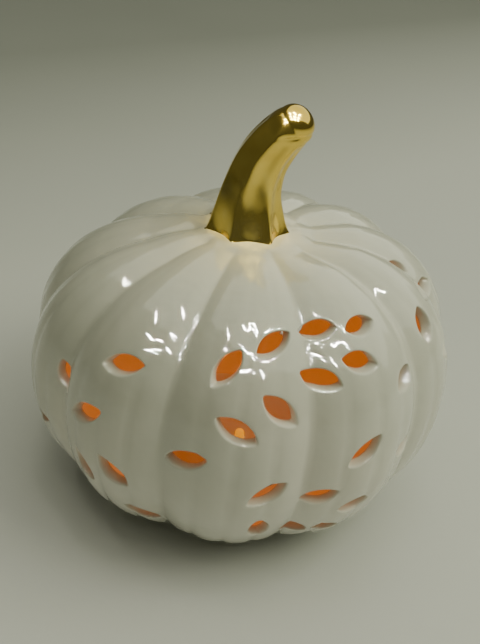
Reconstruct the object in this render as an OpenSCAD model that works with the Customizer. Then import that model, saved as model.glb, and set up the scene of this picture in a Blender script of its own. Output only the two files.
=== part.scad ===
// Glazed ceramic pumpkin luminary with leaf-shaped cut-outs, a separate gold stem
// and a battery light unit that pulls out of the round opening in its foot.
// Millimetres, +Z up. The origin is the centre of the foot, on the table.
// Azimuths are in degrees from the front (-Y) towards the right (+X).

/* [Ceramic body] */
// Largest radius of the body, measured on the crest of a lobe
body_r = 102.5; // [95:0.5:110]
// Height of the widest part above the table
waist_z = 66.5; // [60:0.5:70]
// Height of the shoulder ring around the stem
shoulder_z = 133.5; // [130:0.5:138]
// Radius of the shoulder ring
shoulder_r = 27.5; // [24:0.5:34]
// Radius of the flat foot
foot_r = 50; // [48.5:0.5:54]
// Wall thickness of the casting
wall = 5; // [4:0.25:6]
// Depth of the grooves between the lobes
groove_depth = 5.4; // [4:0.1:8]
// How square the lower half is, 2 being an ellipse
lower_power = 2; // [1.6:0.05:2.4]
// How square the upper half is, 2 being an ellipse
upper_power = 2.35; // [2:0.05:2.6]
// Radius of the opening in the foot
opening_r = 40; // [39.9:0.05:40.5]

/* [Leaf cut-outs] */
// Width of each leaf at its middle
leaf_w = 8.2; // [6:0.2:9]
// Length of a full leaf, tip to tip
leaf_l = 18; // [15:0.5:20]

/* [Stem] */
// Radius of the flared foot of the stem
stem_foot_r = 20.5; // [19:0.5:22]
// Height of the face that the stem stands on
seat_z = 134.5; // [134:0.5:139]
// Radius of the locating spigot under the stem
spigot_r = 8; // [6:0.5:10]

/* [Foot pads] */
// Thickness of the felt pads
pad_h = 2; // [1.8:0.1:2.5]
// Radius of a pad
pad_r = 3.2; // [2.5:0.1:3.2]

/* [Light unit] */
// Outer radius of the housing wall
unit_r = 37; // [36.8:0.1:37.2]
// Height of the top face of the light cover
unit_top = 24; // [24:0.5:28]
// Wall thickness of the moulded housing
unit_wall = 1.8; // [1.4:0.1:2]
// Distance of each LED from the axis
led_ring_r = 18; // [16:0.5:18]
// Radius of an LED
led_r = 2.5; // [2.5:0.1:2.7]

/* [Hidden] */

ceramic = [0.93, 0.92, 0.88];
gold = [0.83, 0.66, 0.27];
black_plastic = [0.12, 0.12, 0.13];
white_plastic = [0.9, 0.89, 0.86];
bright_metal = [0.78, 0.78, 0.76];
amber = [1, 0.6, 0.1];

// Azimuth of the groove before each lobe: hand-finished lobes differ a little in width
grooves = [20.5, 56.5, 86.5, 117.5, 149.5, 181, 212.5, 247, 281, 311.5, 344.5];
lobes = len(grooves);
steps = 8;       // mesh steps across one lobe
rows = 9;        // mesh rows in each half of the body
seat_r = 23;     // flat on the crown under the stem
lean = 0.073;    // how much higher the shoulder is on the right, as a share of the distance out
lean_blend = 25; // distance over which that fades in outside the seat
eps = 0.01;

function unit(v) = v / norm(v);
function lobe_width(k) = (grooves[(k + 1) % lobes] - grooves[k] + 360) % 360;
function column_azimuth(i) =
    let(k = floor(i / steps)) grooves[k] + lobe_width(k) * (i % steps) / steps;
function hollow(i) = 1 - pow(sin(180 * (i % steps) / steps), 0.66);

// One row of the outer profile: [radius, height, outward normal, how deep the groove is]
function lower_row(a) =
    let(p = lower_power, A = body_r - foot_r, B = waist_z - pad_h)
    [foot_r + A * pow(sin(a), 2 / p), waist_z - B * pow(cos(a), 2 / p),
        unit([pow(sin(a), 2 - 2 / p) / A, -pow(cos(a), 2 - 2 / p) / B]), pow(sin(a), 1.1)];
function upper_row(a) =
    let(p = upper_power, A = body_r - shoulder_r, B = shoulder_z - waist_z)
    [shoulder_r + A * pow(cos(a), 2 / p), waist_z + B * pow(sin(a), 2 / p),
        unit([pow(cos(a), 2 - 2 / p) / A, pow(sin(a), 2 - 2 / p) / B]), 1 - 0.8 * pow(a / 90, 2.5)];
profile = [
    for (j = [0:rows]) lower_row(90 * j / rows),
    for (j = [1:rows]) upper_row(90 * j / rows),
    [seat_r, seat_z, [0, 1], 0]];

// Rise of the body at radius r and height z in direction az, from its lean
function lean_rise(r, z, az) =
    lean * r * sin(az) * min(1, max(0, (r - seat_r) / lean_blend)) * pow(z / shoulder_z, 2);

// Point of a surface that lies inset below the outer one, on profile row j and column i
function body_point(j, i, inset) =
    let(row = profile[j], az = column_azimuth(i))
    let(q = [row[0], row[1]] - row[2] * (inset + groove_depth * row[3] * hollow(i)))
    [q[0] * sin(az), -q[0] * cos(az), q[1] + lean_rise(row[0], row[1], az)];

// Closed lobed solid under that surface
module body_solid(inset) {
    n = lobes * steps;
    m = len(profile);
    points = [
        for (j = [0:m - 1]) for (i = [0:n - 1]) body_point(j, i, inset),
        [0, 0, pad_h + inset],
        [0, 0, seat_z - inset]];
    sides = [
        for (j = [0:m - 2]) for (i = [0:n - 1])
            let(a = j * n + i, b = j * n + (i + 1) % n)
            each [[a, a + n, b], [b, a + n, b + n]]];
    caps = [
        for (i = [0:n - 1])
            each [[m * n, i, (i + 1) % n],
                [m * n + 1, (m - 1) * n + (i + 1) % n, (m - 1) * n + i]]];
    polyhedron(points, concat(sides, caps), convexity = 6);
}

// Radius and normal elevation of the outer surface at a height
function half_power(z) = z < waist_z ? lower_power : upper_power;
function half_a(z) = body_r - (z < waist_z ? foot_r : shoulder_r);
function half_b(z) = z < waist_z ? waist_z - pad_h : shoulder_z - waist_z;
function rise(z) = abs(z - waist_z) / half_b(z);
function run(z) = pow(1 - pow(rise(z), half_power(z)), 1 / half_power(z));
function side_radius(z) = body_r - half_a(z) + half_a(z) * run(z);
function side_elevation(z) =
    let(p = half_power(z))
    sign(z - waist_z) * atan2(pow(rise(z), p - 1) / half_b(z), pow(run(z), p - 1) / half_a(z));

// Leaves of one side: [azimuth, height, tilt up to the right, length as a share of leaf_l].
// Those past one_sided are not repeated on the other half.
one_sided = 76;
leaves = [
    [-78.5, 67.5, -5, 0.9], [-61.5, 50, 5, 1], [-49, 86, -60, 0.85], [-36.5, 81, 29, 1.15],
    [-37, 51, -50, 0.95], [-29.5, 107, 18, 1], [-27, 57.5, -45, 1.05], [-21, 29.5, -35, 0.95],
    [-9, 76.5, 18, 1.05], [-2.5, 114, 60, 0.95], [2, 93.5, -28, 1.05], [11, 63.5, 31, 1],
    [10, 121, 40, 0.95], [11, 39, -78, 0.85], [12, 101, -41, 1.05], [22, 30.5, -25, 0.75],
    [25, 56.5, 16, 0.9], [23, 110.5, -27, 1], [25, 124, -10, 0.8], [31.5, 30, -12, 0.75],
    [34.5, 113, -23, 0.85], [34.5, 78.5, 39, 1], [35.5, 47.5, 10, 0.8], [39, 122, 2, 0.8],
    [51, 68.5, 0, 0.9], [49, 101.5, 28, 0.8], [65.5, 112.5, 75, 0.85], [75, 95.5, -9, 1],
    [78.5, 118.5, 25, 0.8], [85, 125.5, -61, 0.75], [89, 114, -16, 0.95], [113, 115.5, -75, 0.8]];

module leaf_outline(length) {
    r = (length * length + leaf_w * leaf_w) / (4 * leaf_w);
    intersection() {
        translate([0, leaf_w / 2 - r]) circle(r, $fn = 48);
        translate([0, r - leaf_w / 2]) circle(r, $fn = 48);
    }
}

module leaf_cutter(azimuth, z, tilt, share) {
    rotate([0, 0, azimuth - 90])
        translate([side_radius(z), 0, z + lean_rise(side_radius(z), z, azimuth)])
        rotate([0, -side_elevation(z), 0])
        rotate([90, 0, 90])
        linear_extrude(26, center = true)
        rotate(tilt) leaf_outline(leaf_l * share);
}

module pumpkin_shell() {
    color(ceramic) difference() {
        body_solid(0);
        body_solid(wall);
        translate([0, 0, -eps]) cylinder(r = opening_r, h = pad_h + wall + 1, $fn = 96);
        translate([0, 0, seat_z - wall - 1])
            cylinder(r = spigot_r + 0.2, h = wall + 2, $fn = 48);
        for (turn = [0, 180])
            for (leaf = leaves)
                if (turn == 0 || leaf[0] < one_sided)
                    leaf_cutter(leaf[0] + turn, leaf[1], leaf[2], leaf[3]);
    }
}

// Stem: rings along a Bezier centreline in the XZ plane, with seven ridges
stem_path = [[-3.9, seat_z], [-5.5, seat_z + 21.5], [-2.7, seat_z + 36.5], [11.3, seat_z + 50]];
stem_rows = 18;
stem_columns = 56;
ridges = 7;
ridge_az = 36;   // azimuth of the first ridge
stem_tip_r = 10.3;
stem_taper = 4.2;
cap_rows = 4;
cap_h = 8.2;
function bezier(p, t) =
    p[0] * pow(1 - t, 3) + p[1] * 3 * t * pow(1 - t, 2) + p[2] * 3 * t * t * (1 - t)
    + p[3] * pow(t, 3);
function bezier_direction(p, t) = unit(
    (p[1] - p[0]) * pow(1 - t, 2) + (p[2] - p[1]) * 2 * t * (1 - t) + (p[3] - p[2]) * t * t);
// Radius on the ridges, flared at the foot, and depth of the flutes between them
function stem_radius(t) =
    stem_tip_r + stem_taper * (1 - t) - 1.2 * pow(t, 12)
    + (stem_foot_r - stem_tip_r - stem_taper) * pow(1 - t, 5);
function flute_depth(t) = (1.1 + 2.2 * pow(1 - t, 8)) * (1 - pow(t, 6));
// How far a ring is drawn down flat onto the seat
function settle(t) = pow(1 - t, 16);
function stem_ring(t, along, shrink) =
    let(c = bezier(stem_path, t), d = bezier_direction(stem_path, t))
    [for (i = [0:stem_columns - 1])
        let(az = 360 * i / stem_columns)
        let(flute = pow(abs(sin(ridges * (az - ridge_az) / 2)), 1.2))
        let(r = (stem_radius(t) - flute_depth(t) * flute) * shrink)
        let(z = c[1] + d[1] * along - d[0] * r * sin(az))
        [c[0] + d[0] * along + d[1] * r * sin(az), -r * cos(az),
            z + settle(t) * (seat_z - z)]];

module stem() {
    rings = concat(
        [for (j = [0:stem_rows]) stem_ring(j / stem_rows, 0, 1)],
        [for (j = [1:cap_rows])
            stem_ring(1, cap_h * sin(80 * j / cap_rows), cos(80 * j / cap_rows))]);
    tip = stem_path[3] + cap_h * bezier_direction(stem_path, 1);
    n = stem_columns;
    m = len(rings);
    points = [for (ring = rings) each ring, [0, 0, seat_z], [tip[0], 0, tip[1]]];
    faces = [
        for (j = [0:m - 2]) for (i = [0:n - 1])
            let(a = j * n + i, b = j * n + (i + 1) % n)
            each [[a, a + n, b], [b, a + n, b + n]],
        for (i = [0:n - 1])
            each [[m * n, i, (i + 1) % n],
                [m * n + 1, (m - 1) * n + (i + 1) % n, (m - 1) * n + i]]];
    color(gold) union() {
        polyhedron(points, faces, convexity = 4);
        translate([0, 0, seat_z - wall]) cylinder(r = spigot_r, h = wall + 1, $fn = 48);
    }
}

module foot_pads() {
    color([0.85, 0.84, 0.8])
        for (a = [45:90:315])
            rotate([0, 0, a]) translate([45.6, 0, 0]) cylinder(r = pad_r, h = pad_h, $fn = 32);
}

// Heights inside the light unit
flange_z = 0.6;
flange_h = 1.2;
floor_h = 2.4;
floor_top = flange_z + floor_h;
split_z = 18;          // where the cover stands on the base
bay_l = 53.6;          // battery bay, inside
bay_w = 37.6;
bay_wall = 1.2;
bay_top = 14;
cell_r = 5.25;
cell_l = 44.5;
cell_z = floor_top + 0.2 + cell_r;
cell_pitch = 12;
board_z = 16.4;
board_h = 1.6;
board_r = 25.5;
post_x = 12;
post_y = 27;
switch_y = -28.5;
hinge_x = bay_l / 2 + 0.7;
hinge_z = 1.8;
door_h = 2;
led_angles = [-70, 50, 170];   // directions from +X towards +Y

module at_posts() {
    for (x = [-post_x, post_x])
        for (y = [-post_y, post_y]) translate([x, y, 0]) children();
}

module block(x0, x1, y0, y1, z0, z1) {
    translate([x0, y0, z0]) cube([x1 - x0, y1 - y0, z1 - z0]);
}

module light_base() {
    color(white_plastic) difference() {
        union() {
            translate([0, 0, flange_z]) cylinder(r = opening_r + 1.8, h = flange_h, $fn = 96);
            translate([0, 0, flange_z]) cylinder(r = unit_r, h = split_z - flange_z, $fn = 96);
        }
        difference() {
            translate([0, 0, floor_top])
                cylinder(r = unit_r - unit_wall, h = split_z, $fn = 96);
            block(-bay_l / 2 - bay_wall, bay_l / 2 + bay_wall, -bay_w / 2 - bay_wall,
                bay_w / 2 + bay_wall, 0, bay_top + bay_wall);
            at_posts() cylinder(r = 3, h = split_z, $fn = 32);
            for (x = [-20, 20])
                translate([x, 0, 0]) cylinder(r = 2.2, h = board_z, $fn = 24);
        }
        block(-bay_l / 2, bay_l / 2, -bay_w / 2, bay_w / 2, 0, bay_top);
        // Room for the hinge edge of the door, and its two trunnion holes
        translate([hinge_x, 0, hinge_z]) rotate([90, 0, 0])
            cylinder(r = door_h / 2 + 0.16, h = bay_w, center = true, $fn = 32);
        block(hinge_x - 1, hinge_x + 1.6, -bay_w / 2, bay_w / 2, 0, hinge_z);
        translate([hinge_x, 0, hinge_z]) rotate([90, 0, 0])
            cylinder(r = 0.78, h = bay_w + 3, center = true, $fn = 24);
        // Recess for the thumb tab of the door
        block(-bay_l / 2 - 5, -bay_l / 2 + eps, -6.3, 6.3, 0, floor_top - 0.8);
        // Slots for the solder tabs and the switch knob
        block(bay_l / 2 - 1, bay_l / 2 + 2, 9.8, 14.2, 7.6, 9.3);
        block(-bay_l / 2 - 2, -bay_l / 2 + 1, -14.2, -9.8, 7.6, 9.3);
        block(-4.4, 4.4, switch_y - 1.6, switch_y + 1.6, 0, floor_top + 1);
        // Screw holes, with counterbores for the heads
        at_posts() translate([0, 0, -1]) cylinder(r = 1.3, h = split_z + 2, $fn = 24);
        at_posts() cylinder(r = 2.5, h = 3.4, $fn = 24);
        for (x = [-20, 20])
            translate([x, 0, bay_top - 1]) cylinder(r = 0.9, h = 5, $fn = 24);
        // Two finger notches in the flange
        for (a = [0, 180])
            rotate([0, 0, a]) translate([0, opening_r + 6, 0])
                cylinder(r = 7, h = flange_z + flange_h + 1, $fn = 32);
    }
}

module light_cover() {
    color(white_plastic) difference() {
        translate([0, 0, split_z]) cylinder(r = unit_r, h = unit_top - split_z, $fn = 96);
        difference() {
            translate([0, 0, split_z - 1])
                cylinder(r = unit_r - unit_wall, h = unit_top - split_z - 1, $fn = 96);
            at_posts() cylinder(r = 3, h = unit_top, $fn = 32);
        }
        at_posts() translate([0, 0, split_z - 1])
            cylinder(r = 1.3, h = unit_top - split_z - 0.5, $fn = 24);
        for (a = led_angles)
            rotate([0, 0, a]) translate([led_ring_r, 0, split_z])
                cylinder(r = led_r + 0.2, h = 10, $fn = 32);
    }
}

// Soft ring with three lips that grips the ceramic opening
module base_gasket() {
    r0 = unit_r + 0.05;
    r1 = r0 + 1.2;
    r2 = opening_r - 0.3;
    lips = [2.2, 4.4, 6.6];
    outline = concat([[r0, lips[0]]],
        [for (z = lips) each [[r1, z], [r2, z + 0.6], [r2, z + 1], [r1, z + 1.6]]],
        [[r0, lips[2] + 1.6]]);
    color([0.25, 0.25, 0.26]) rotate_extrude($fn = 96) polygon(outline);
}

// The door turns on two trunnions at its right-hand end
module battery_door() {
    play = 0.3;
    w = bay_w / 2 - play;
    color(white_plastic) difference() {
        union() {
            block(-bay_l / 2 + play, bay_l / 2 - play, -w, w, hinge_z - door_h / 2,
                hinge_z + door_h / 2);
            block(bay_l / 2 - play - eps, hinge_x, -w, w, hinge_z - door_h / 2,
                hinge_z + 0.65);
            translate([hinge_x, 0, hinge_z]) rotate([90, 0, 0])
                cylinder(r = door_h / 2, h = 2 * w, center = true, $fn = 32);
            translate([hinge_x, 0, hinge_z]) rotate([90, 0, 0])
                cylinder(r = 0.7, h = 2 * w + 3, center = true, $fn = 24);
            block(-bay_l / 2 - 4.4, -bay_l / 2 + 1, -6, 6, hinge_z - door_h / 2,
                hinge_z - door_h / 2 + 1);
        }
        // Grip ribs are left between shallow grooves
        for (i = [0:4])
            block(-22 + 1.6 * i, -21.2 + 1.6 * i, -7, 7, 0, hinge_z - door_h / 2 + 0.4);
    }
}

// AAA cell lying along X; flip = 1 puts its positive end to the right
module cell(k, flip, wrap) {
    color(wrap) translate([0, (k - 2) * cell_pitch, cell_z]) rotate([0, 90 * flip, 0])
        translate([0, 0, -cell_l / 2]) rotate_extrude($fn = 48) polygon([
            [0, 0], [4.6, 0], [cell_r, 0.5], [cell_r, cell_l - 1.4], [4.9, cell_l - 0.9],
            [1.9, cell_l - 0.9], [1.9, cell_l], [0, cell_l]]);
}

module battery_1() { cell(1, 1, [0.75, 0.55, 0.2]); }
module battery_2() { cell(2, -1, [0.75, 0.55, 0.2]); }
module battery_3() { cell(3, 1, [0.75, 0.55, 0.2]); }

// Round wire of radius r along a list of points, with sides facets
function wire_direction(p, i) =
    unit(p[min(i + 1, len(p) - 1)] - p[max(i - 1, 0)]);
module wire(p, r, sides, across) {
    rings = [for (i = [0:len(p) - 1])
        let(d = wire_direction(p, i))
        let(u = unit(cross(d, across)))
        let(v = cross(d, u))
        for (k = [0:sides - 1]) p[i] + r * (u * cos(360 * k / sides) + v * sin(360 * k / sides))];
    n = sides;
    m = len(p);
    faces = [
        for (j = [0:m - 2]) for (i = [0:n - 1])
            let(a = j * n + i, b = j * n + (i + 1) % n)
            each [[a, a + n, b], [b, a + n, b + n]],
        [for (i = [0:n - 1]) i],
        [for (i = [n - 1:-1:0]) (m - 1) * n + i]];
    polyhedron(rings, faces, convexity = 4);
}
// Smooth curve through hand-placed points
function between(a, b, c, d, t) =
    0.5 * (2 * b + (c - a) * t + (2 * a - 5 * b + 4 * c - d) * t * t
        + (3 * b - a - 3 * c + d) * t * t * t);
function smooth_path(p, n) = [
    for (i = [0:len(p) - 2]) for (k = [0:n - 1])
        between(p[max(i - 1, 0)], p[i], p[i + 1], p[min(i + 2, len(p) - 1)], k / n),
    p[len(p) - 1]];

// Conical contact spring from a plate at x towards a cell, in direction side
module coil_spring(k, side) {
    turns = 3;
    length = bay_l / 2 - 0.8 - cell_l / 2 - 0.35;
    coil = [for (i = [0:10 * turns])
        let(f = i / (10 * turns), r = 3.4 - 1.4 * f)
        [side * (bay_l / 2 - 1.1 - length * f + 0.2 * f), r * cos(36 * i), r * sin(36 * i)]];
    translate([0, (k - 2) * cell_pitch, cell_z])
        wire(side > 0 ? coil : [for (i = [len(coil) - 1:-1:0]) coil[i]], 0.3, 6, [1, 0.02, 0]);
}

module coil_springs() {
    color(bright_metal) {
        coil_spring(1, -1);
        coil_spring(2, 1);
        coil_spring(3, -1);
    }
}

plate_x = bay_l / 2 - 0.1;
plate_t = 0.5;
module contact_plate(side, y0, y1) {
    translate([side > 0 ? plate_x - plate_t : -plate_x, y0, cell_z - 4.4])
        cube([plate_t, y1 - y0, 8.8]);
}

// Each link plate joins the ends of two neighbouring cells
module link_plates() {
    color(bright_metal) {
        contact_plate(1, -cell_pitch - 4.2, 4.2);
        contact_plate(-1, -4.2, cell_pitch + 4.2);
    }
}

module plus_plate() {
    color(bright_metal) union() {
        contact_plate(1, cell_pitch - 4.2, cell_pitch + 4.2);
        block(plate_x - plate_t, plate_x + 3.6, cell_pitch - 1.6, cell_pitch + 1.6, 8.2, 8.7);
    }
}

module minus_plate() {
    color(bright_metal) union() {
        contact_plate(-1, -cell_pitch - 4.2, -cell_pitch + 4.2);
        block(-plate_x - 3.6, -plate_x + plate_t, -cell_pitch - 1.6, -cell_pitch + 1.6, 8.2, 8.7);
    }
}

module circuit_board() {
    color([0.1, 0.4, 0.2]) difference() {
        translate([0, 0, board_z]) cylinder(r = board_r, h = board_h, $fn = 96);
        for (x = [-20, 20])
            translate([x, 0, board_z - 1]) cylinder(r = 1.1, h = board_h + 2, $fn = 24);
    }
}

// Pan-head screw standing on its tip at z0 with the head above z1
module pan_screw(z0, z1, shank_r, head_r) {
    difference() {
        union() {
            translate([0, 0, z0]) cylinder(r = shank_r, h = z1 - z0 + eps, $fn = 24);
            translate([0, 0, z1]) cylinder(r = head_r, h = 0.9, $fn = 32);
        }
        for (a = [0, 90])
            rotate([0, 0, a]) translate([-head_r * 0.7, -0.2, z1 + 0.45])
                cube([head_r * 1.4, 0.4, 1]);
    }
}

module board_screws() {
    color(bright_metal)
        for (x = [-20, 20])
            translate([x, 0, 0]) pan_screw(bay_top + 0.3, board_z + board_h, 0.85, 1.8);
}

// The heads of these four face down, in the counterbores of the base
module housing_screws() {
    color(bright_metal)
        at_posts() translate([0, 0, 3.4]) rotate([180, 0, 0]) pan_screw(-14.2, 0, 1.22, 2.3);
}

module led(index) {
    seat = board_z + board_h;
    color(amber)
        rotate([0, 0, led_angles[index]]) translate([led_ring_r, 0, 0]) union() {
            rotate_extrude($fn = 32) polygon(concat(
                [[0, seat + 1.6], [2.6, seat + 1.6], [2.6, seat + 2.6], [led_r, seat + 2.6]],
                [for (a = [0:15:90])
                    [led_r * cos(a), unit_top + 2.2 + led_r * sin(a)]]));
            for (y = [-1.27, 1.27])
                translate([0, y, seat]) cylinder(r = 0.3, h = 2, $fn = 16);
        }
}

module led_front() { led(0); }
module led_right() { led(1); }
module led_left() { led(2); }

module control_chip() {
    z = board_z + board_h;
    color([0.08, 0.08, 0.08]) union() {
        block(-2.5, 2.5, -2, 2, z + 0.1, z + 1.6);
        for (x = [-1.9:1.27:1.91])
            block(x - 0.2, x + 0.2, -3, 3, z, z + 0.5);
    }
}

module resistors() {
    z = board_z + board_h;
    color([0.8, 0.7, 0.5])
        for (i = [0:2])
            translate([-9, -7 + 4 * i, z + 1.3]) rotate([0, 90, 0]) union() {
                rotate_extrude($fn = 24) polygon([
                    [0, -2.6], [0.8, -2.6], [1.05, -2.3], [1.05, -1.5], [0.85, -1.2],
                    [0.85, 1.2], [1.05, 1.5], [1.05, 2.3], [0.8, 2.6], [0, 2.6]]);
                cylinder(r = 0.25, h = 7.2, center = true, $fn = 16);
                for (s = [-1, 1])
                    translate([0, 0, 3.4 * s]) rotate([0, 90, 0])
                        cylinder(r = 0.25, h = 1.3, $fn = 16);
            }
}

module capacitor() {
    color([0.1, 0.15, 0.35]) translate([9, -9, board_z + board_h]) rotate_extrude($fn = 32)
        polygon([[0, 0], [2.5, 0], [2.5, 0.5], [2.3, 0.7], [2.5, 0.9], [2.5, 3.3], [2.3, 3.6],
            [0, 3.6]]);
}

module switch_body() {
    color([0.75, 0.75, 0.74]) union() {
        block(-6, 6, switch_y - 2.8, switch_y + 2.8, floor_top, floor_top + 4.2);
        for (x = [-2.5, 2.5])
            translate([x, switch_y, floor_top + 4]) cylinder(r = 0.4, h = 1.7, $fn = 16);
    }
}

module switch_knob() {
    color(black_plastic) difference() {
        block(-1.7, 1.7, switch_y - 1.3, switch_y + 1.3, 0.8, floor_top - 0.05);
        for (x = [-0.9, 0, 0.9])
            block(x - 0.2, x + 0.2, switch_y - 2, switch_y + 2, 0, 1.2);
    }
}

// Leads: each ends on its own pad and keeps clear of the housing wall
module red_wire() {
    color([0.75, 0.08, 0.06]) wire(smooth_path([[29.4, 12, 9.3], [29.8, 12.2, 11.5],
        [29.6, 12, 14.5], [28, 11.3, 18.2], [24.5, 9.8, 20.2], [21, 8.4, 19.8],
        [19.5, 7.8, 18.62]], 4), 0.55, 8, [0, 1, 0.03]);
}

module black_wire() {
    color([0.08, 0.08, 0.08]) wire(smooth_path([[-29.4, -12, 9.3], [-29.8, -12.2, 11.5],
        [-29.6, -12, 14.5], [-28, -11.3, 18.2], [-24.5, -9.8, 20.2], [-21, -8.4, 19.8],
        [-19.5, -7.8, 18.62]], 4), 0.55, 8, [0, 1, 0.03]);
}

module switch_wires() {
    color([0.85, 0.85, 0.82])
        for (x = [-2.5, 2.5])
            wire(smooth_path([[x, switch_y, 9.3], [x, switch_y, 12], [x, -28, 16],
                [x, -26.4, 19.6], [x, -23.5, 20.4], [x, -21.4, 18.62]], 4),
                0.55, 8, [1, 0, 0.02]);
}

pumpkin_shell();
stem();
foot_pads();
light_base();
light_cover();
base_gasket();
battery_door();
battery_1();
battery_2();
battery_3();
coil_springs();
link_plates();
plus_plate();
minus_plate();
circuit_board();
board_screws();
led_front();
led_right();
led_left();
control_chip();
resistors();
capacitor();
switch_body();
switch_knob();
housing_screws();
red_wire();
black_wire();
switch_wires();
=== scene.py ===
"""Looks for the glazed ceramic pumpkin luminary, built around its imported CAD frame.

Lengths in the shape code are millimetres, as in the CAD source, and become metres when a mesh is
made. An azimuth is in degrees from the front (-Y) towards the right (+X).
"""

import math

import bpy
import numpy as np
from mathutils import Matrix, Vector
from mathutils.geometry import delaunay_2d_cdt


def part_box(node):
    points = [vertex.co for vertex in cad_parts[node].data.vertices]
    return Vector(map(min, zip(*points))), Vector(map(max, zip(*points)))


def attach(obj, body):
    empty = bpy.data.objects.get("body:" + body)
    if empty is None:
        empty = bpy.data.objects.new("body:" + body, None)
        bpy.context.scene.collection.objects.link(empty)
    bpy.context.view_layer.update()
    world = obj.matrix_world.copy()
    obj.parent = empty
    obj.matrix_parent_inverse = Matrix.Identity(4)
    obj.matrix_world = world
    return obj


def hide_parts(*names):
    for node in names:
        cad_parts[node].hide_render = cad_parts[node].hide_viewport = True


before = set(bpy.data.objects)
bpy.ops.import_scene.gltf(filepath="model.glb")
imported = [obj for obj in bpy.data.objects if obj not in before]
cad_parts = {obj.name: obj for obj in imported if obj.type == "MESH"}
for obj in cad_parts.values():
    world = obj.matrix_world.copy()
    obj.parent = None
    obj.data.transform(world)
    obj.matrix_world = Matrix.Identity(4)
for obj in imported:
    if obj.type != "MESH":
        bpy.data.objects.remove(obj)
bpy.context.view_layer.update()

MM = 0.001

# ---------------------------------------------------------------- driving dimensions (mm)
BODY_R = 102.5
WAIST_Z = 66.5
SHOULDER_R = 27.5
SHOULDER_Z = 133.5
FOOT_R = 50.0
FOOT_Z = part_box("pumpkin_shell")[0].z / MM
SEAT_R = 23.0
SEAT_Z = 134.5
WALL = 5.0
GROOVE_DEPTH = 5.4
GROOVE_SOFTNESS = 0.12   # rounding at the bottom of a groove
GROOVE_WIDTH = 0.33      # lower is narrower
LOWER_POWER = 2.0
UPPER_POWER = 2.35
OPENING_R = 40.0
SOCKET_R = 8.2
LEAF_W = 8.2
LEAF_L = 18.0
CUT_SLOPE = 0.35         # share of the wall's slope that a cut-out follows, 0 for level cuts
GROOVES = np.array([20.5, 56.5, 86.5, 117.5, 149.5, 181, 212.5, 247, 281, 311.5, 344.5])
LEAN = 0.073             # rise of the right side for each millimetre out
LEAN_BLEND = 25          # width of the ring beside the seat where the lean starts
FLUTES = 4               # fine flutes across each lobe
FLUTE_DEPTH = 0.9

# Leaves past this azimuth are not repeated on the back half
ONE_SIDED = 76.0
# Leaves of one side: azimuth, height, tilt up to the right, length as a share of LEAF_L
LEAVES = [
    (-78.5, 67.5, -5, 0.9), (-61.5, 50, 5, 1), (-49, 86, -60, 0.85), (-36.5, 81, 29, 1.15),
    (-37, 51, -50, 0.95), (-29.5, 107, 18, 1), (-27, 57.5, -45, 1.05), (-21, 29.5, -35, 0.95),
    (-9, 76.5, 18, 1.05), (-2.5, 114, 60, 0.95), (2, 93.5, -28, 1.05), (11, 63.5, 31, 1),
    (10, 121, 40, 0.95), (11, 39, -78, 0.85), (12, 101, -41, 1.05), (22, 30.5, -25, 0.75),
    (25, 56.5, 16, 0.9), (23, 110.5, -27, 1), (25, 124, -10, 0.8), (31.5, 30, -12, 0.75),
    (34.5, 113, -23, 0.85), (34.5, 78.5, 39, 1), (35.5, 47.5, 10, 0.8), (39, 122, 2, 0.8),
    (51, 68.5, 0, 0.9), (49, 101.5, 28, 0.8), (65.5, 112.5, 75, 0.85), (75, 95.5, -9, 1),
    (78.5, 118.5, 25, 0.8), (85, 125.5, -61, 0.75), (89, 114, -16, 0.95), (113, 115.5, -75, 0.8)]
ALL_LEAVES = [(a + turn, z, tilt, share) for turn in (0, 180) for a, z, tilt, share in LEAVES
              if turn == 0 or a < ONE_SIDED]


# ---------------------------------------------------------------- small mesh helpers
def make_mesh(name, points_mm, faces, materials, face_materials=None):
    """A smooth-shaded mesh object from points in millimetres."""
    mesh = bpy.data.meshes.new(name)
    mesh.from_pydata((np.asarray(points_mm) * MM).tolist(), [], faces)
    for material in materials:
        mesh.materials.append(material)
    if face_materials is not None:
        mesh.polygons.foreach_set("material_index", np.asarray(face_materials, np.int32))
    mesh.polygons.foreach_set("use_smooth", np.ones(len(mesh.polygons), bool))
    mesh.validate()
    mesh.update()
    piece = bpy.data.objects.new(name, mesh)
    bpy.context.scene.collection.objects.link(piece)
    return piece


def ring_faces(first, second):
    """Quads between two index rings of the same length."""
    n = len(first)
    return [(first[k], first[(k + 1) % n], second[(k + 1) % n], second[k]) for k in range(n)]


# ---------------------------------------------------------------- the lobed body as a surface
def body_profile():
    """Radius, height and groove weight of the outer profile, by arc length from the opening."""
    quarter = np.radians(np.linspace(0, 90, 500))
    low = FOOT_R + (BODY_R - FOOT_R) * np.sin(quarter) ** (2 / LOWER_POWER)
    low_z = WAIST_Z - (WAIST_Z - FOOT_Z) * np.abs(np.cos(quarter)) ** (2 / LOWER_POWER)
    high = SHOULDER_R + (BODY_R - SHOULDER_R) * np.abs(np.cos(quarter)) ** (2 / UPPER_POWER)
    high_z = WAIST_Z + (SHOULDER_Z - WAIST_Z) * np.sin(quarter) ** (2 / UPPER_POWER)
    radius = np.concatenate([[OPENING_R], low, high[1:], [SEAT_R, SOCKET_R]])
    height = np.concatenate([[FOOT_Z], low_z, high_z[1:], [SEAT_Z, SEAT_Z]])
    # Grooves fade out at the foot, and to a fifth of their depth at the stem
    low_weight = np.sin(quarter) ** 1.1
    high_weight = 1 - 0.8 * (quarter[1:] / quarter[-1]) ** 2.5
    weight = np.concatenate([[0], low_weight, high_weight, [0, 0]])
    length = np.concatenate([[0], np.cumsum(np.hypot(np.diff(radius), np.diff(height)))])
    even = np.linspace(0, length[-1], 1200)
    table = [np.interp(even, length, values) for values in (radius, height, weight)]
    return even, [ease(values, 9) for values in table]


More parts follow.
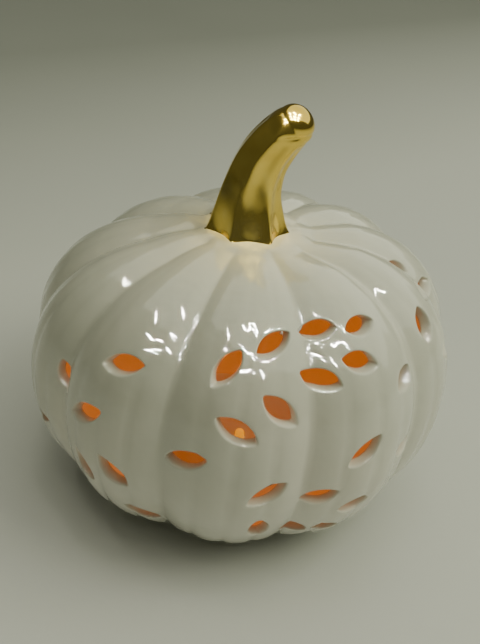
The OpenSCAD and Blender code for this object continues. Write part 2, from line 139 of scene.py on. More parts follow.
def ease(values, reach):
    """Rounds the corners of an evenly spaced curve, and keeps its ends."""
    window = np.hanning(2 * reach + 3)[1:-1]
    ends = [2 * values[0] - values[reach:0:-1], 2 * values[-1] - values[-2:-reach - 2:-1]]
    padded = np.concatenate([ends[0], values, ends[1]])
    return np.convolve(padded, window / window.sum(), "valid")


ARC, (ARC_R, ARC_Z, ARC_W) = body_profile()
ARC_NORMAL_R = np.gradient(ARC_Z, ARC)
ARC_NORMAL_Z = -np.gradient(ARC_R, ARC)


def lobe_share(azimuth):
    """How far across its lobe an azimuth is, from 0 to 1."""
    azimuth = np.asarray(azimuth) % 360
    lobe = np.searchsorted(GROOVES, azimuth, side="right") - 1
    width = (np.roll(GROOVES, -1) - GROOVES) % 360
    return ((azimuth - GROOVES[lobe]) % 360) / width[lobe]


def hollow(azimuth):
    """1 in a groove and 0 on the crest of a lobe, rounded at the bottom of the groove."""
    wave = np.sin(np.pi * lobe_share(azimuth)) ** 2
    soft = GROOVE_SOFTNESS ** 2
    low, high = soft ** GROOVE_WIDTH, (1 + soft) ** GROOVE_WIDTH
    return 1 - ((wave + soft) ** GROOVE_WIDTH - low) / (high - low)


def on_body(azimuth, arc):
    """Points of the smooth lobed surface."""
    inset = GROOVE_DEPTH * np.interp(arc, ARC, ARC_W) * hollow(azimuth)
    radius = np.interp(arc, ARC, ARC_R) - inset * np.interp(arc, ARC, ARC_NORMAL_R)
    height = np.interp(arc, ARC, ARC_Z) - inset * np.interp(arc, ARC, ARC_NORMAL_Z)
    turn = np.radians(azimuth)
    rise = LEAN * np.clip((radius - SEAT_R) / LEAN_BLEND, 0, 1) * (height / SHOULDER_Z) ** 2
    return np.stack([radius * np.sin(turn), -radius * np.cos(turn),
                     height + rise * radius * np.sin(turn)], -1)


def body_normal(azimuth, arc):
    """Outward unit normals of that surface."""
    aside, ahead = 0.2, 0.3
    across = on_body(azimuth + aside, arc) - on_body(azimuth - aside, arc)
    up = on_body(azimuth, arc + ahead) - on_body(azimuth, arc - ahead)
    normal = np.cross(across, up)
    return normal / np.linalg.norm(normal, axis=-1, keepdims=True)


def relief(azimuth, arc):
    """Fine flutes on each lobe and the slow ripple of hand-cast ware, in millimetres."""
    share = lobe_share(azimuth)
    fade = np.interp(arc, [12, 35, 100, 165, 215], [0, 1, 1, 0.25, 0])
    flute = -FLUTE_DEPTH * (1 - np.abs(np.sin(np.pi * FLUTES * share)) ** 0.6)
    turn = np.radians(azimuth)
    ripple = (0.10 * np.sin(9 * turn + 0.051 * arc + 1.0) * np.sin(0.083 * arc + 2 * np.sin(turn))
              + 0.05 * np.sin(23 * turn - 0.11 * arc) * np.sin(0.19 * arc + 3 * turn + 0.7))
    return fade * (flute + ripple)


def shell_points(nodes):
    """Points from rows of azimuth, arc and depth under the glaze."""
    azimuth, arc, depth = np.asarray(nodes, float).T
    lift = relief(azimuth, arc) * (1 - depth / WALL) - depth
    return on_body(azimuth, arc) + body_normal(azimuth, arc) * lift[:, None]


# ---------------------------------------------------------------- leaf cut-outs
TIP_R = 0.7      # rounding of a leaf's two points
ARC_STEPS = 16   # edges along each side of a leaf
TIP_STEPS = 5    # nodes round each point


def leaf_frame(leaf, depth):
    """Centre of a leaf at a depth in the wall, its tilt, and the arcs that draw it."""
    azimuth, height, tilt, share = leaf
    half_l = LEAF_L * share / 2
    half_w = LEAF_W / 2
    radius = (half_l ** 2 + half_w ** 2) / (2 * half_w)
    side = ARC[(ARC_Z > FOOT_Z + 1) & (ARC_Z < SEAT_Z - 1)]
    arc = np.interp(height, np.interp(side, ARC, ARC_Z), side)
    slope = math.atan2(np.interp(arc, ARC, ARC_NORMAL_Z), np.interp(arc, ARC, ARC_NORMAL_R))
    arc += depth * math.tan((1 - CUT_SLOPE) * slope)
    return azimuth, arc, math.radians(tilt), radius, radius - half_w


def leaf_distance(leaf, depth, azimuth, arc):
    """Distance from the outline of a leaf, negative inside it."""
    azimuth0, arc0, tilt, radius, offset = leaf_frame(leaf, depth)
    turn = np.radians((azimuth - azimuth0 + 180) % 360 - 180)
    dx = turn * np.interp(arc, ARC, ARC_R)
    dy = arc - arc0
    x = dx * math.cos(tilt) + dy * math.sin(tilt)
    y = dy * math.cos(tilt) - dx * math.sin(tilt)
    return np.maximum(np.hypot(x, y + offset), np.hypot(x, y - offset)) - radius


def leaf_loop(leaf, outset, depth):
    """Azimuth and arc of the points of a leaf's outline, moved outwards by outset."""
    azimuth0, arc0, tilt, radius, offset = leaf_frame(leaf, depth)
    inner = radius - TIP_R
    start = math.asin(offset / inner)
    tip_x = inner * math.cos(start)
    angle, x, y = [], [], []
    for side in (0, 1):
        for a in np.linspace(start, math.pi - start, ARC_STEPS + 1):
            angle.append(a + side * math.pi)
            x.append(inner * math.cos(angle[-1]))
            y.append(inner * math.sin(angle[-1]) - offset * (1 - 2 * side))
        for a in np.linspace(math.pi - start, math.pi + start, TIP_STEPS + 2)[1:-1]:
            angle.append(a + side * math.pi)
            x.append(tip_x * (2 * side - 1))
            y.append(0.0)
    angle = np.array(angle)
    x = np.array(x) + (TIP_R + outset) * np.cos(angle)
    y = np.array(y) + (TIP_R + outset) * np.sin(angle)
    arc = arc0 + x * math.sin(tilt) + y * math.cos(tilt)
    across = x * math.cos(tilt) - y * math.sin(tilt)
    return azimuth0 + np.degrees(across / np.interp(arc, ARC, ARC_R)), arc


def inside_polygon(x, y, px, py):
    """Which points (x, y) lie inside the polygon (px, py)."""
    odd = np.zeros(len(x), bool)
    for k in range(len(px)):
        x0, y0, x1, y1 = px[k - 1], py[k - 1], px[k], py[k]
        if y0 != y1:
            odd ^= ((y0 > y) != (y1 > y)) & (x < (x1 - x0) * (y - y0) / (y1 - y0) + x0)
    return odd


MERGE = 1e-7     # points nearer than this are one
SLIVER = 0.001   # least doubled area of a triangle, in square millimetres


class Shell:
    """Collects the nodes (azimuth, arc, depth) and faces of the ceramic wall."""

    def __init__(self):
        self.nodes = []
        self.faces = []
        self.slots = []

    def add_nodes(self, azimuth, arc, depth):
        first = len(self.nodes)
        arc = np.broadcast_to(arc, np.shape(azimuth))
        self.nodes += [(a, s, depth) for a, s in zip(np.ravel(azimuth), np.ravel(arc))]
        return np.arange(first, len(self.nodes))

    def add_faces(self, faces, slot, flip=False):
        self.faces += [tuple(int(k) for k in (f[::-1] if flip else f)) for f in faces]
        self.slots += [slot] * len(faces)


def clusters(marked):
    """Groups of touching marked cells; columns wrap round."""
    rows, columns = marked.shape
    left = {(int(i), int(j)) for i, j in np.argwhere(marked)}
    while left:
        group, queue = set(), [min(left)]
        left.discard(queue[0])
        while queue:
            i, j = queue.pop()
            group.add((i, j))
            for near in ((i + 1, j), (i - 1, j), (i, (j + 1) % columns), (i, (j - 1) % columns)):
                if near in left:
                    left.discard(near)
                    queue.append(near)
        yield group


def column_of(columns, azimuth):
    """The column of cells that an azimuth is in."""
    turned = (columns - columns[0]) % 360
    return int(np.searchsorted(turned, (azimuth - columns[0]) % 360, side="right")) - 1


def outer_edges(group, ids, index):
    """Index pairs of the cell edges round a group; ids are the grid's nodes."""
    n = ids.shape[1]
    edges = []
    for i, j in sorted(group):
        around = (((i - 1, j), (i, j), (i, j + 1)), ((i + 1, j), (i + 1, j), (i + 1, j + 1)),
                  ((i, (j - 1) % n), (i, j), (i + 1, j)),
                  ((i, (j + 1) % n), (i, j + 1), (i + 1, j + 1)))
        for beyond, start, end in around:
            if beyond not in group:
                edges.append((index[ids[start[0], start[1] % n]],
                              index[ids[end[0], end[1] % n]]))
    return edges


def group_triangles(shell, group, columns, arcs, ids, usable, loops, depth):
    """Triangles that fill a group of cells between the grid and the loops inside it."""
    n = len(columns)
    middle = columns[min(group)[1]]
    spread = math.radians(1) * np.interp(arcs[min(group)[0]], ARC, ARC_R)
    flat, places, index = [], [], {}

    def place(node_id, azimuth, arc):
        index[node_id] = len(places)
        places.append(node_id)
        flat.append((((azimuth - middle + 180) % 360 - 180) * spread, arc))

    for i, j in sorted(group):
        for ci, cj in ((i, j), (i, (j + 1) % n), (i + 1, (j + 1) % n), (i + 1, j)):
            if usable[ci, cj] and ids[ci, cj] not in index:
                place(ids[ci, cj], columns[cj], arcs[ci])
    edges = outer_edges(group, ids, index)
    outlines = []
    for leaf, loop in zip(ALL_LEAVES, loops):
        azimuth0, arc0 = leaf_frame(leaf, depth)[:2]
        if (int(np.searchsorted(arcs, arc0)) - 1, column_of(columns, azimuth0)) not in group:
            continue
        start = len(places)
        for node_id in loop:
            place(int(node_id), *shell.nodes[node_id][:2])
        count = len(loop)
        edges += [(start + k, start + (k + 1) % count) for k in range(count)]
        outlines.append(np.array(flat[start:]))
    out, _, triangles, origins, _, _ = delaunay_2d_cdt(
        [Vector(p) for p in flat], edges, [], 0, MERGE, True)
    out = np.array([tuple(v) for v in out])
    triangles = np.array(triangles)
    centre = out[triangles].mean(1)
    side_1, side_2 = (out[triangles[:, k]] - out[triangles[:, 0]] for k in (1, 2))
    # A sliver lies along the outside of the group's stepped edge, and fills nothing
    keep = np.abs(side_1[:, 0] * side_2[:, 1] - side_1[:, 1] * side_2[:, 0]) > SLIVER
    cell_i = np.searchsorted(arcs, centre[:, 1], side="right") - 1
    centre_az = middle + centre[:, 0] / spread
    for k in range(len(triangles)):
        keep[k] &= (int(cell_i[k]), column_of(columns, centre_az[k])) in group
    for outline in outlines:
        keep &= ~inside_polygon(centre[:, 0], centre[:, 1], outline[:, 0], outline[:, 1])
    named = [places[origin[0]] for origin in origins]
    return [[named[v] for v in t] for t in triangles[keep]]


def sheet(shell, columns, arcs, loops, outset, depth, slot):
    """A lobed sheet with leaf-shaped holes, whose edges are the given loops of nodes.

    Cells clear of every leaf are quads. The cells around the leaves are triangulated between
    the grid and the loops. Returns the first and last row of nodes.
    """
    n, m = len(columns), len(arcs)
    grid_az, grid_arc = np.meshgrid(columns, arcs)
    far = np.min([leaf_distance(leaf, depth, grid_az, grid_arc) for leaf in ALL_LEAVES], axis=0)
    reach = math.hypot(math.radians(360 / n) * BODY_R, arcs[1] - arcs[0])
    corners = np.minimum(far, np.roll(far, -1, 1))
    marked = np.minimum(corners[:-1], corners[1:]) < outset + 0.75 * reach
    ids = shell.add_nodes(grid_az, grid_arc, depth).reshape(m, n)
    right = np.roll(ids, -1, 1)
    quads = np.stack([ids[:-1], right[:-1], right[1:], ids[1:]], -1)[~marked]
    shell.add_faces(quads.tolist(), slot, flip=depth > 0)
    usable = far > outset + min(0.2 * reach, 0.6)
    for group in clusters(marked):
        triangles = group_triangles(shell, group, columns, arcs, ids, usable, loops, depth)
        shell.add_faces(triangles, slot, flip=depth > 0)
    return ids[0], ids[-1]


def pumpkin_shell(glaze, inside):
    """The ceramic wall: glazed outside, lit inside, and rounded glazed rims between them."""
    per_lobe, outer_rows, inner_rows = 28, 120, 60
    width = (np.roll(GROOVES, -1) - GROOVES) % 360
    columns = np.concatenate([g + w * np.arange(per_lobe) / per_lobe
                              for g, w in zip(GROOVES, width)])
    shell = Shell()
    # Outset from the opening and depth in the wall of the rings round a leaf, and of those
    # round the foot opening and the socket
    leaf_rim = [(1.25, 0), (0.95, 0.05), (0.65, 0.2), (0.42, 0.5), (0.25, 1.6), (0.1, 2.8),
                (0.0, 4.0), (0.05, 4.6), (0.3, 4.92), (0.7, WALL)]
    edge_rim = [(0.8, 0.0), (0.23, 0.23), (0.0, 0.8), (0.0, WALL - 0.8), (0.23, WALL - 0.23),
                (0.8, WALL)]
    rings = []
    for leaf in ALL_LEAVES:
        rings.append([shell.add_nodes(*leaf_loop(leaf, outset, depth), depth)
                      for outset, depth in leaf_rim])
        for first, second in zip(rings[-1], rings[-1][1:]):
            shell.add_faces(ring_faces(first, second), 0)
    start, end = ARC[0] + edge_rim[0][0], ARC[-1] - edge_rim[0][0]
    outer = sheet(shell, columns, np.linspace(start, end, outer_rows), [r[0] for r in rings],
                  leaf_rim[0][0], 0.0, 0)
    inner = sheet(shell, columns, np.linspace(start, end, inner_rows), [r[-1] for r in rings],
                  leaf_rim[-1][0], WALL, 1)
    for row, edge, sign in ((0, ARC[0], 1), (1, ARC[-1], -1)):
        loops = [outer[row]]
        loops += [shell.add_nodes(columns, edge + sign * outset, depth)
                  for outset, depth in edge_rim[1:-1]]
        loops.append(inner[row])
        for first, second in zip(loops, loops[1:]):
            shell.add_faces(ring_faces(first, second), 0, flip=sign > 0)
    used = np.unique(np.concatenate([np.ravel(f) for f in shell.faces]))
    order = np.full(len(shell.nodes), -1)
    order[used] = np.arange(len(used))
    points = shell_points(np.array(shell.nodes)[used])
    faces = [tuple(order[list(f)].tolist()) for f in shell.faces]
    return make_mesh("pumpkin_body", points, faces, [glaze, inside], shell.slots)


# ---------------------------------------------------------------- the stem
STEM_PATH = np.array([(-3.9, 0.0), (-5.5, 21.5), (-2.7, 36.5), (11.3, 50.0)])
STEM_FOOT_R = 20.5
STEM_TIP_R = 10.3
STEM_TAPER = 4.2   # extra radius at the foot, apart from the flare
STEM_BED = 0.25    # how far the foot is let into the glaze
STEM_RIDGES = 7
FIRST_RIDGE = 36.0
CAP_H = 8.2        # height of the rounded end
CREASE_Z = 46.3    # above the seat
CREASE_DEPTH = 0.45


def stem_section(t):
    """Centre (x, z) and direction of the stem's centreline at share t."""
    share = np.array([(1 - t) ** 3, 3 * t * (1 - t) ** 2, 3 * t * t * (1 - t), t ** 3])
    centre = share @ STEM_PATH + (0, SEAT_Z)
    legs = np.diff(STEM_PATH, axis=0)
    direction = np.array([(1 - t) ** 2, 2 * t * (1 - t), t * t]) @ legs
    return centre, direction / np.linalg.norm(direction)


def facet_share(azimuth, t):
    """0 on a ridge and 1 in the middle of a facet. Ridges on the right fade as they rise."""
    step = 360 / STEM_RIDGES
    ridge = np.round((azimuth - FIRST_RIDGE) / step) * step + FIRST_RIDGE
    away = np.abs(azimuth - ridge)
    left = np.clip(0.75 - 0.75 * np.sin(np.radians(ridge + 10)), 0, 1)
    soft = 2.0 + 26 * (1 - left) * np.clip(t / 0.5, 0, 1) + 5 * t
    rounded = (np.hypot(away, soft) - soft) / (np.hypot(step / 2, soft) - soft)
    middle = np.radians(step / 2 * (1 - rounded))
    corner = math.cos(math.radians(step / 2))
    return (1 - corner / np.cos(middle)) / (1 - corner)


def stem_radius(t, azimuth):
    """Distance of the stem's surface from its centreline."""
    flare = (STEM_FOOT_R - STEM_TIP_R - STEM_TAPER) * (1 - t) ** 5
    ridge = STEM_TIP_R + STEM_TAPER * (1 - t) + flare - 1.2 * t ** 12
    depth = 0.095 * (ridge - flare) + 2.8 * (1 - t) ** 9
    end = np.clip((t - 0.86) / 0.12, 0, 1)
    depth = depth * (1 - end * end * (3 - 2 * end))
    sway = 0.12 * np.sin(3 * np.radians(azimuth) + 9 * t) * np.sin(13 * t + 1)
    return ridge - depth * facet_share(azimuth, t) + sway


def gold_stem(gold):
    """The fluted stem with its flared foot, rounded slanting end, and spigot."""
    around, rows, cap = 120, 150, 26
    azimuth = np.arange(around) * 360 / around
    side, front = np.sin(np.radians(azimuth)), -np.cos(np.radians(azimuth))
    rings = []
    for j in range(rows + cap):
        t = min(j / (rows - 1), 1.0) ** 1.15
        turn = math.radians(86 * max(j - rows + 1, 0) / cap)
        centre, direction = stem_section(t)
        radius = stem_radius(t, azimuth) * math.cos(turn)
        along = CAP_H * math.sin(turn)
        height = centre[1] + direction[1] * along - direction[0] * radius * side
        # A shallow crease under the knob, on its right side
        crease = height - (SEAT_Z + CREASE_Z + 1.2 * side)
        pinch = CREASE_DEPTH * np.exp(-(crease / 1.1) ** 2) * np.clip(1.3 * side - 0.5 * front, 0, 1)
        radius = radius - pinch
        ring = np.stack([centre[0] + direction[0] * along + direction[1] * radius * side,
                         radius * front,
                         centre[1] + direction[1] * along - direction[0] * radius * side], -1)
        settle = (1 - t) ** 16
        ring[:, 2] += settle * (SEAT_Z - STEM_BED - ring[:, 2])
        rings.append(ring)
    centre, direction = stem_section(1.0)
    tip = centre + direction * CAP_H
    rings.insert(0, np.stack([9 * side, 9 * front, np.full(around, SEAT_Z - STEM_BED)], -1))
    points = np.concatenate(rings + [[(tip[0], 0, tip[1])], [(0, 0, SEAT_Z - STEM_BED)]])
    ids = np.arange(around * len(rings)).reshape(len(rings), around)
    faces = [f for a, b in zip(ids, ids[1:]) for f in ring_faces(a, b)]
    last, top, bottom = ids[-1], len(points) - 2, len(points) - 1
    faces += [(last[k], last[(k + 1) % around], top) for k in range(around)]
    faces += [(ids[0][(k + 1) % around], ids[0][k], bottom) for k in range(around)]
    faces = [tuple(int(v) for v in f) for f in faces]
    stem = make_mesh("gold_stem", points, faces, [gold])
    low, spigot_r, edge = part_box("stem")[0].z / MM, 8.0, 0.4
    spigot = turned("stem_spigot", [(0, low), (spigot_r - edge, low), (spigot_r, low + edge),
                                    (spigot_r, SEAT_Z), (0, SEAT_Z)], [gold])
    return [stem, spigot]


def turned(name, outline, materials, around=72):
    """A solid turned about Z from (radius, height) points, whose first and last are on Z."""
    turn = np.radians(np.arange(around) * 360 / around)
    rings = [np.stack([r * np.sin(turn), -r * np.cos(turn), np.full(around, z)], -1)
             for r, z in outline[1:-1]]
    points = np.concatenate(rings + [[(0, 0, outline[0][1])], [(0, 0, outline[-1][1])]])
    ids = np.arange(around * len(rings)).reshape(len(rings), around)
    faces = [f for a, b in zip(ids, ids[1:]) for f in ring_faces(a, b)]
    low, high = len(points) - 2, len(points) - 1
    faces += [(ids[0][(k + 1) % around], ids[0][k], low) for k in range(around)]
    faces += [(ids[-1][k], ids[-1][(k + 1) % around], high) for k in range(around)]
    return make_mesh(name, points, [tuple(int(v) for v in f) for f in faces], materials)


# ---------------------------------------------------------------- materials
class Nodes:
    """A short way to build one material's node tree."""

    def __init__(self, name):
        self.material = bpy.data.materials.new(name)
        self.material.use_nodes = True
        self.tree = self.material.node_tree
        self.shader = self.tree.nodes["Principled BSDF"]
        self.place = self.tree.nodes.new("ShaderNodeTexCoord").outputs["Object"]

    def set(self, **values):
        for key, value in values.items():
            self.shader.inputs[key.replace("_", " ")].default_value = value
        return self

    def noise(self, scale, detail=3.0, rough=0.5, stretch=(1, 1, 1)):
        place = self.place
        if stretch != (1, 1, 1):
            mapping = self.tree.nodes.new("ShaderNodeMapping")
            mapping.inputs["Scale"].default_value = stretch
            self.tree.links.new(place, mapping.inputs["Vector"])
            place = mapping.outputs["Vector"]
        node = self.tree.nodes.new("ShaderNodeTexNoise")
        node.inputs["Scale"].default_value = scale
        node.inputs["Detail"].default_value = detail
        node.inputs["Roughness"].default_value = rough
        self.tree.links.new(place, node.inputs["Vector"])
        return node.outputs["Fac"]

    def along(self, direction):
        """Metres along a direction."""
        node = self.tree.nodes.new("ShaderNodeVectorMath")
        node.operation = "DOT_PRODUCT"
        node.inputs[1].default_value = direction
        self.tree.links.new(self.place, node.inputs[0])
        return node.outputs["Value"]

    def ramp(self, source, stops):
        node = self.tree.nodes.new("ShaderNodeValToRGB")
        elements = node.color_ramp.elements
        while len(elements) < len(stops):
            elements.new(0.5)
        for element, (position, colour) in zip(elements, stops):
            element.position = position
            element.color = (*colour, 1)
        self.tree.links.new(source, node.inputs["Fac"])
        return node.outputs["Color"]

    def span(self, source, low, high):
        """The useful middle of a noise, spread from low to high."""
        node = self.tree.nodes.new("ShaderNodeMapRange")
        ends = {"From Min": 0.3, "From Max": 0.7, "To Min": low, "To Max": high}
        for key, value in ends.items():
            node.inputs[key].default_value = value
        self.tree.links.new(source, node.inputs["Value"])
        return node.outputs["Result"]

    def bump(self, source, height):
        """Adds relief of a height in metres to what is there already."""
        node = self.tree.nodes.new("ShaderNodeBump")
        node.inputs["Strength"].default_value = 1.0
        node.inputs["Distance"].default_value = height
        self.tree.links.new(source, node.inputs["Height"])
        normal = self.shader.inputs["Normal"]
        if normal.is_linked:
            self.tree.links.new(normal.links[0].from_socket, node.inputs["Normal"])
        self.tree.links.new(node.outputs["Normal"], normal)
        return self

    def link(self, source, key):
        self.tree.links.new(source, self.shader.inputs[key])
        return self


def plain(name, colour, roughness, grain=900.0, grain_h=0.00003, shift=0.12, **values):
    """A plastic, rubber or lacquer with slight mottling, uneven gloss and a fine grain."""
    n = Nodes(name).set(**values)
    dark = tuple(c * (1 - shift) for c in colour)
    light = tuple(min(c * (1 + shift), 1) for c in colour)
    n.link(n.ramp(n.noise(45, 4), [(0.3, dark), (0.7, light)]), "Base Color")
    n.link(n.span(n.noise(130, 3), roughness * 0.8, roughness * 1.25), "Roughness")
    return n.bump(n.noise(grain, 2), grain_h).material


def glaze_material():
    """Off-white glaze with faint grey and warm clouds and a fine ripple."""
    n = Nodes("glaze").set(Coat_Weight=0.5, Coat_Roughness=0.006, IOR=1.52)
    clouds = n.ramp(n.noise(14, 5, 0.55), [(0.30, (0.56, 0.56, 0.47)), (0.52, (0.62, 0.61, 0.51)),
                                           (0.75, (0.67, 0.64, 0.54))])
    n.link(clouds, "Base Color")
    n.link(n.span(n.noise(60, 2), 0.008, 0.02), "Roughness")
    n.bump(n.noise(75, 1.0), 0.00036)
    n.bump(n.noise(160, 1.0), 0.00016)
    return n.material


def inside_material():
    """Unglazed biscuit inside. It glows by itself, in place of the LEDs' light on it."""
    n = Nodes("lit_inside").set(Roughness=0.75, Emission_Color=(1.0, 0.22, 0.0, 1),
                                Emission_Strength=0.20)
    n.link(n.ramp(n.noise(30, 5), [(0.3, (0.55, 0.50, 0.42)), (0.7, (0.66, 0.61, 0.52))]),
           "Base Color")
    return n.bump(n.noise(500, 3), 0.00006).material


def gold_material():
    """Fired gold lustre over the glazed stem, uneven in tone and gloss."""
    n = Nodes("gold_lustre").set(Metallic=1.0)
    n.link(n.ramp(n.noise(38, 4, 0.6), [(0.25, (0.76, 0.52, 0.09)), (0.55, (0.90, 0.66, 0.14)),
                                        (0.8, (0.92, 0.73, 0.25))]), "Base Color")
    n.link(n.span(n.noise(90, 4), 0.08, 0.15), "Roughness")
    n.bump(n.noise(110, 2, 0.5, (1, 1, 0.5)), 0.00012)
    return n.bump(n.noise(900, 2), 0.000006).material


def led_material():
    """Amber epoxy that glows by itself."""
    n = Nodes("amber_led").set(Roughness=0.05, Emission_Color=(1.0, 0.46, 0.0, 1),
                               Emission_Strength=0.6, Coat_Weight=1.0)
    n.link(n.ramp(n.noise(300, 2), [(0.3, (0.80, 0.36, 0.01)), (0.7, (0.95, 0.46, 0.02))]),
           "Base Color")
    return n.bump(n.noise(1500, 1), 0.00002).material


def metal(name, colour, roughness):
    """Plated metal with a drawn grain."""
    n = Nodes(name).set(Metallic=1.0)
    dark = tuple(c * 0.82 for c in colour)
    n.link(n.ramp(n.noise(300, 4, 0.6, (1, 1, 6)), [(0.3, dark), (0.7, colour)]), "Base Color")
    n.link(n.span(n.noise(500, 3, 0.5, (1, 8, 1)), roughness * 0.7, roughness * 1.4), "Roughness")
    return n.bump(n.noise(1400, 2, 0.5, (1, 8, 1)), 0.00001).material


def banded(name, colours, direction, width, roughness):
    """Bands of colour across an axis, such as a cell's sleeve or a resistor's rings."""
    n = Nodes(name)
    wave = n.tree.nodes.new("ShaderNodeTexWave")
    wave.bands_direction = direction
    wave.inputs["Scale"].default_value = 1 / (width * math.pi)
    wave.inputs["Distortion"].default_value = 0.0
    n.tree.links.new(n.place, wave.inputs["Vector"])
    n.link(n.ramp(wave.outputs["Fac"], colours), "Base Color")
    n.link(n.span(n.noise(200, 3), roughness * 0.8, roughness * 1.2), "Roughness")
    return n.bump(n.noise(900, 2), 0.00001).material


def paint(nodes, material):
    """Gives CAD nodes a procedural material."""
    for node in nodes:
        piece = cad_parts[node]
        piece.data.materials.clear()
        piece.data.materials.append(material)


glaze = glaze_material()
inside = inside_material()
gold = gold_material()
black = plain("black_plastic", (0.022, 0.022, 0.024), 0.42)
white = plain("white_plastic", (0.72, 0.70, 0.66), 0.35, shift=0.05)
steel = metal("nickel_plate", (0.70, 0.69, 0.66), 0.28)

paint(["foot_pads"], plain("felt", (0.52, 0.50, 0.46), 0.95, 1800, 0.0004, 0.2))
paint(["light_base", "light_cover", "battery_door"], white)
paint(["switch_body", "switch_knob"], black)
paint(["base_gasket"], plain("rubber", (0.035, 0.035, 0.035), 0.7, 1200, 0.00006, 0.2))
paint(["battery_1", "battery_2", "battery_3"],
      banded("cell_sleeve", [(0.0, (0.03, 0.03, 0.035)), (0.62, (0.04, 0.04, 0.045)),
                             (0.66, (0.55, 0.30, 0.06)), (1.0, (0.60, 0.34, 0.08))],
             "X", 0.03, 0.3))
paint(["coil_springs", "link_plates", "plus_plate", "minus_plate", "board_screws",
       "housing_screws"], steel)
paint(["circuit_board"], plain("solder_mask", (0.015, 0.12, 0.045), 0.3, 500, 0.00004, 0.3))
paint(["led_front", "led_right", "led_left"], led_material())
paint(["control_chip"], plain("chip_epoxy", (0.02, 0.02, 0.02), 0.5))
paint(["resistors"], banded("resistor_lacquer",
                            [(0.0, (0.60, 0.48, 0.28)), (0.7, (0.62, 0.50, 0.30)),
                             (0.76, (0.30, 0.08, 0.02)), (1.0, (0.25, 0.06, 0.02))],
                            "X", 0.0016, 0.35))
paint(["capacitor"], plain("capacitor_sleeve", (0.02, 0.03, 0.12), 0.3))
paint(["red_wire"], plain("red_pvc", (0.45, 0.015, 0.01), 0.4))
paint(["black_wire"], plain("black_pvc", (0.02, 0.02, 0.02), 0.4))
paint(["switch_wires"], plain("white_pvc", (0.62, 0.61, 0.58), 0.4, shift=0.06))

# ---------------------------------------------------------------- pieces in place of CAD nodes
body = pumpkin_shell(glaze, inside)
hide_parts("pumpkin_shell")
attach(body, "pumpkin")
for piece in gold_stem(gold):
    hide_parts("stem")
    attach(piece, "pumpkin")


# ---------------------------------------------------------------- floor, light and camera
def floor_plane():
    """A plain pale cloth."""
    mesh = bpy.data.meshes.new("floor")
    half = 4.0
    mesh.from_pydata([(-half, -half, 0), (half, -half, 0), (half, half, 0), (-half, half, 0)],
                     [], [(0, 1, 2, 3)])
    n = Nodes("floor_grey")
    # Coloured darker towards the back left, in place of the weaker light there
    shade = [(0.22, (0.44, 0.45, 0.41)), (0.75, (0.20, 0.21, 0.18))]
    n.link(n.ramp(n.along((-0.7, 0.7, 0.0)), shade), "Base Color")
    n.link(n.span(n.noise(3, 3), 0.58, 0.66), "Roughness")
    n.bump(n.noise(350, 3), 0.00005)
    mesh.materials.append(n.material)
    floor = bpy.data.objects.new("floor", mesh)
    bpy.context.scene.collection.objects.link(floor)
    # When the light unit is out, the pumpkin is held above a table that the unit stands on
    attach(floor, "light_unit")


MIDDLE = Vector((0, 0, 0.07))


def area_light(name, place, size, power, colour, turn=0.0):
    """A rectangular lamp aimed at the middle of the pumpkin."""
    data = bpy.data.lights.new(name, "AREA")
    data.shape = "RECTANGLE"
    data.size, data.size_y = size
    data.energy = power
    data.color = colour
    light = bpy.data.objects.new(name, data)
    light.location = place
    aim = (MIDDLE - Vector(place)).to_track_quat("-Z", "Y").to_matrix()
    light.matrix_world = Matrix.Translation(place) @ (
        aim @ Matrix.Rotation(math.radians(turn), 3, "Z")).to_4x4()
    bpy.context.scene.collection.objects.link(light)
    return light


def amber_light(angle, power):
    """The light of one LED, 30 mm above its dome."""
    data = bpy.data.lights.new("amber_glow", "POINT")
    data.energy = power
    data.color = (1.0, 0.26, 0.0)
    data.shadow_soft_size = 0.004
    light = bpy.data.objects.new("amber_glow", data)
    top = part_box("led_front")[1].z
    turn, ring_r, lift = math.radians(angle), 0.018, 0.03
    light.location = (ring_r * math.cos(turn), ring_r * math.sin(turn), top + lift)
    bpy.context.scene.collection.objects.link(light)
    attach(light, "light_unit")


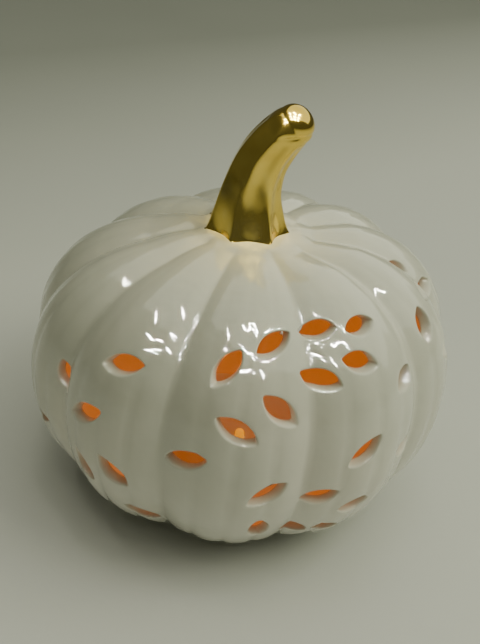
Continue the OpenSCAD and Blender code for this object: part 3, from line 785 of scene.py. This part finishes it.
floor_plane()
for led_angle in (-70, 50, 170):
    amber_light(led_angle, 0.0013)

world = bpy.data.worlds.new("studio")
world.use_nodes = True
world.node_tree.nodes["Background"].inputs["Color"].default_value = (0.80, 0.84, 0.66, 1)
world.node_tree.nodes["Background"].inputs["Strength"].default_value = 0.10
bpy.context.scene.world = world

area_light("sky", (0.6, 0.5, 1.8), (4.0, 4.0), 53, (0.98, 1.0, 0.80))
# The key lights only softly, and the ceiling tubes show only as thin lines in the glaze
key = area_light("key", (0.80, -0.10, 0.95), (0.7, 0.7), 6.5, (0.98, 1.0, 0.80))
key.visible_glossy = False
for k, x in enumerate((-0.75, -0.05, 0.65)):
    for j, y in enumerate((-1.25, -0.7, -0.1)):
        tube = area_light(f"tube_{k}_{j}", (x, y, 1.7), (0.42, 0.010), 22, (1.0, 0.98, 0.82),
                          turn=8 - 30 * k)
        tube.visible_diffuse = False


def photo_camera():
    """The photograph's camera: a phone held in front and above, slightly rolled."""
    aim, distance, elevation = Vector((0, 0, 0.0629)), 0.407, math.radians(34.15)
    yaw, pitch, roll = math.radians(-0.16), math.radians(2.32), math.radians(-7.53)
    forward = Vector((0, math.cos(elevation), -math.sin(elevation)))
    right = Vector((1, 0, 0))
    up = right.cross(forward)
    place = aim - forward * distance
    right, forward = (math.cos(yaw) * right - math.sin(yaw) * forward,
                      math.sin(yaw) * right + math.cos(yaw) * forward)
    up, forward = (math.cos(pitch) * up - math.sin(pitch) * forward,
                   math.sin(pitch) * up + math.cos(pitch) * forward)
    right, up = (math.cos(roll) * right - math.sin(roll) * up,
                 math.sin(roll) * right + math.cos(roll) * up)
    data = bpy.data.cameras.new("photo_camera")
    data.lens = 44.72
    data.sensor_width = 36
    data.clip_start = 0.01
    camera = bpy.data.objects.new("photo_camera", data)
    turn = Matrix((right, up, -forward)).transposed()
    camera.matrix_world = Matrix.Translation(place) @ turn.to_4x4()
    bpy.context.scene.collection.objects.link(camera)
    bpy.context.scene.camera = camera


photo_camera()
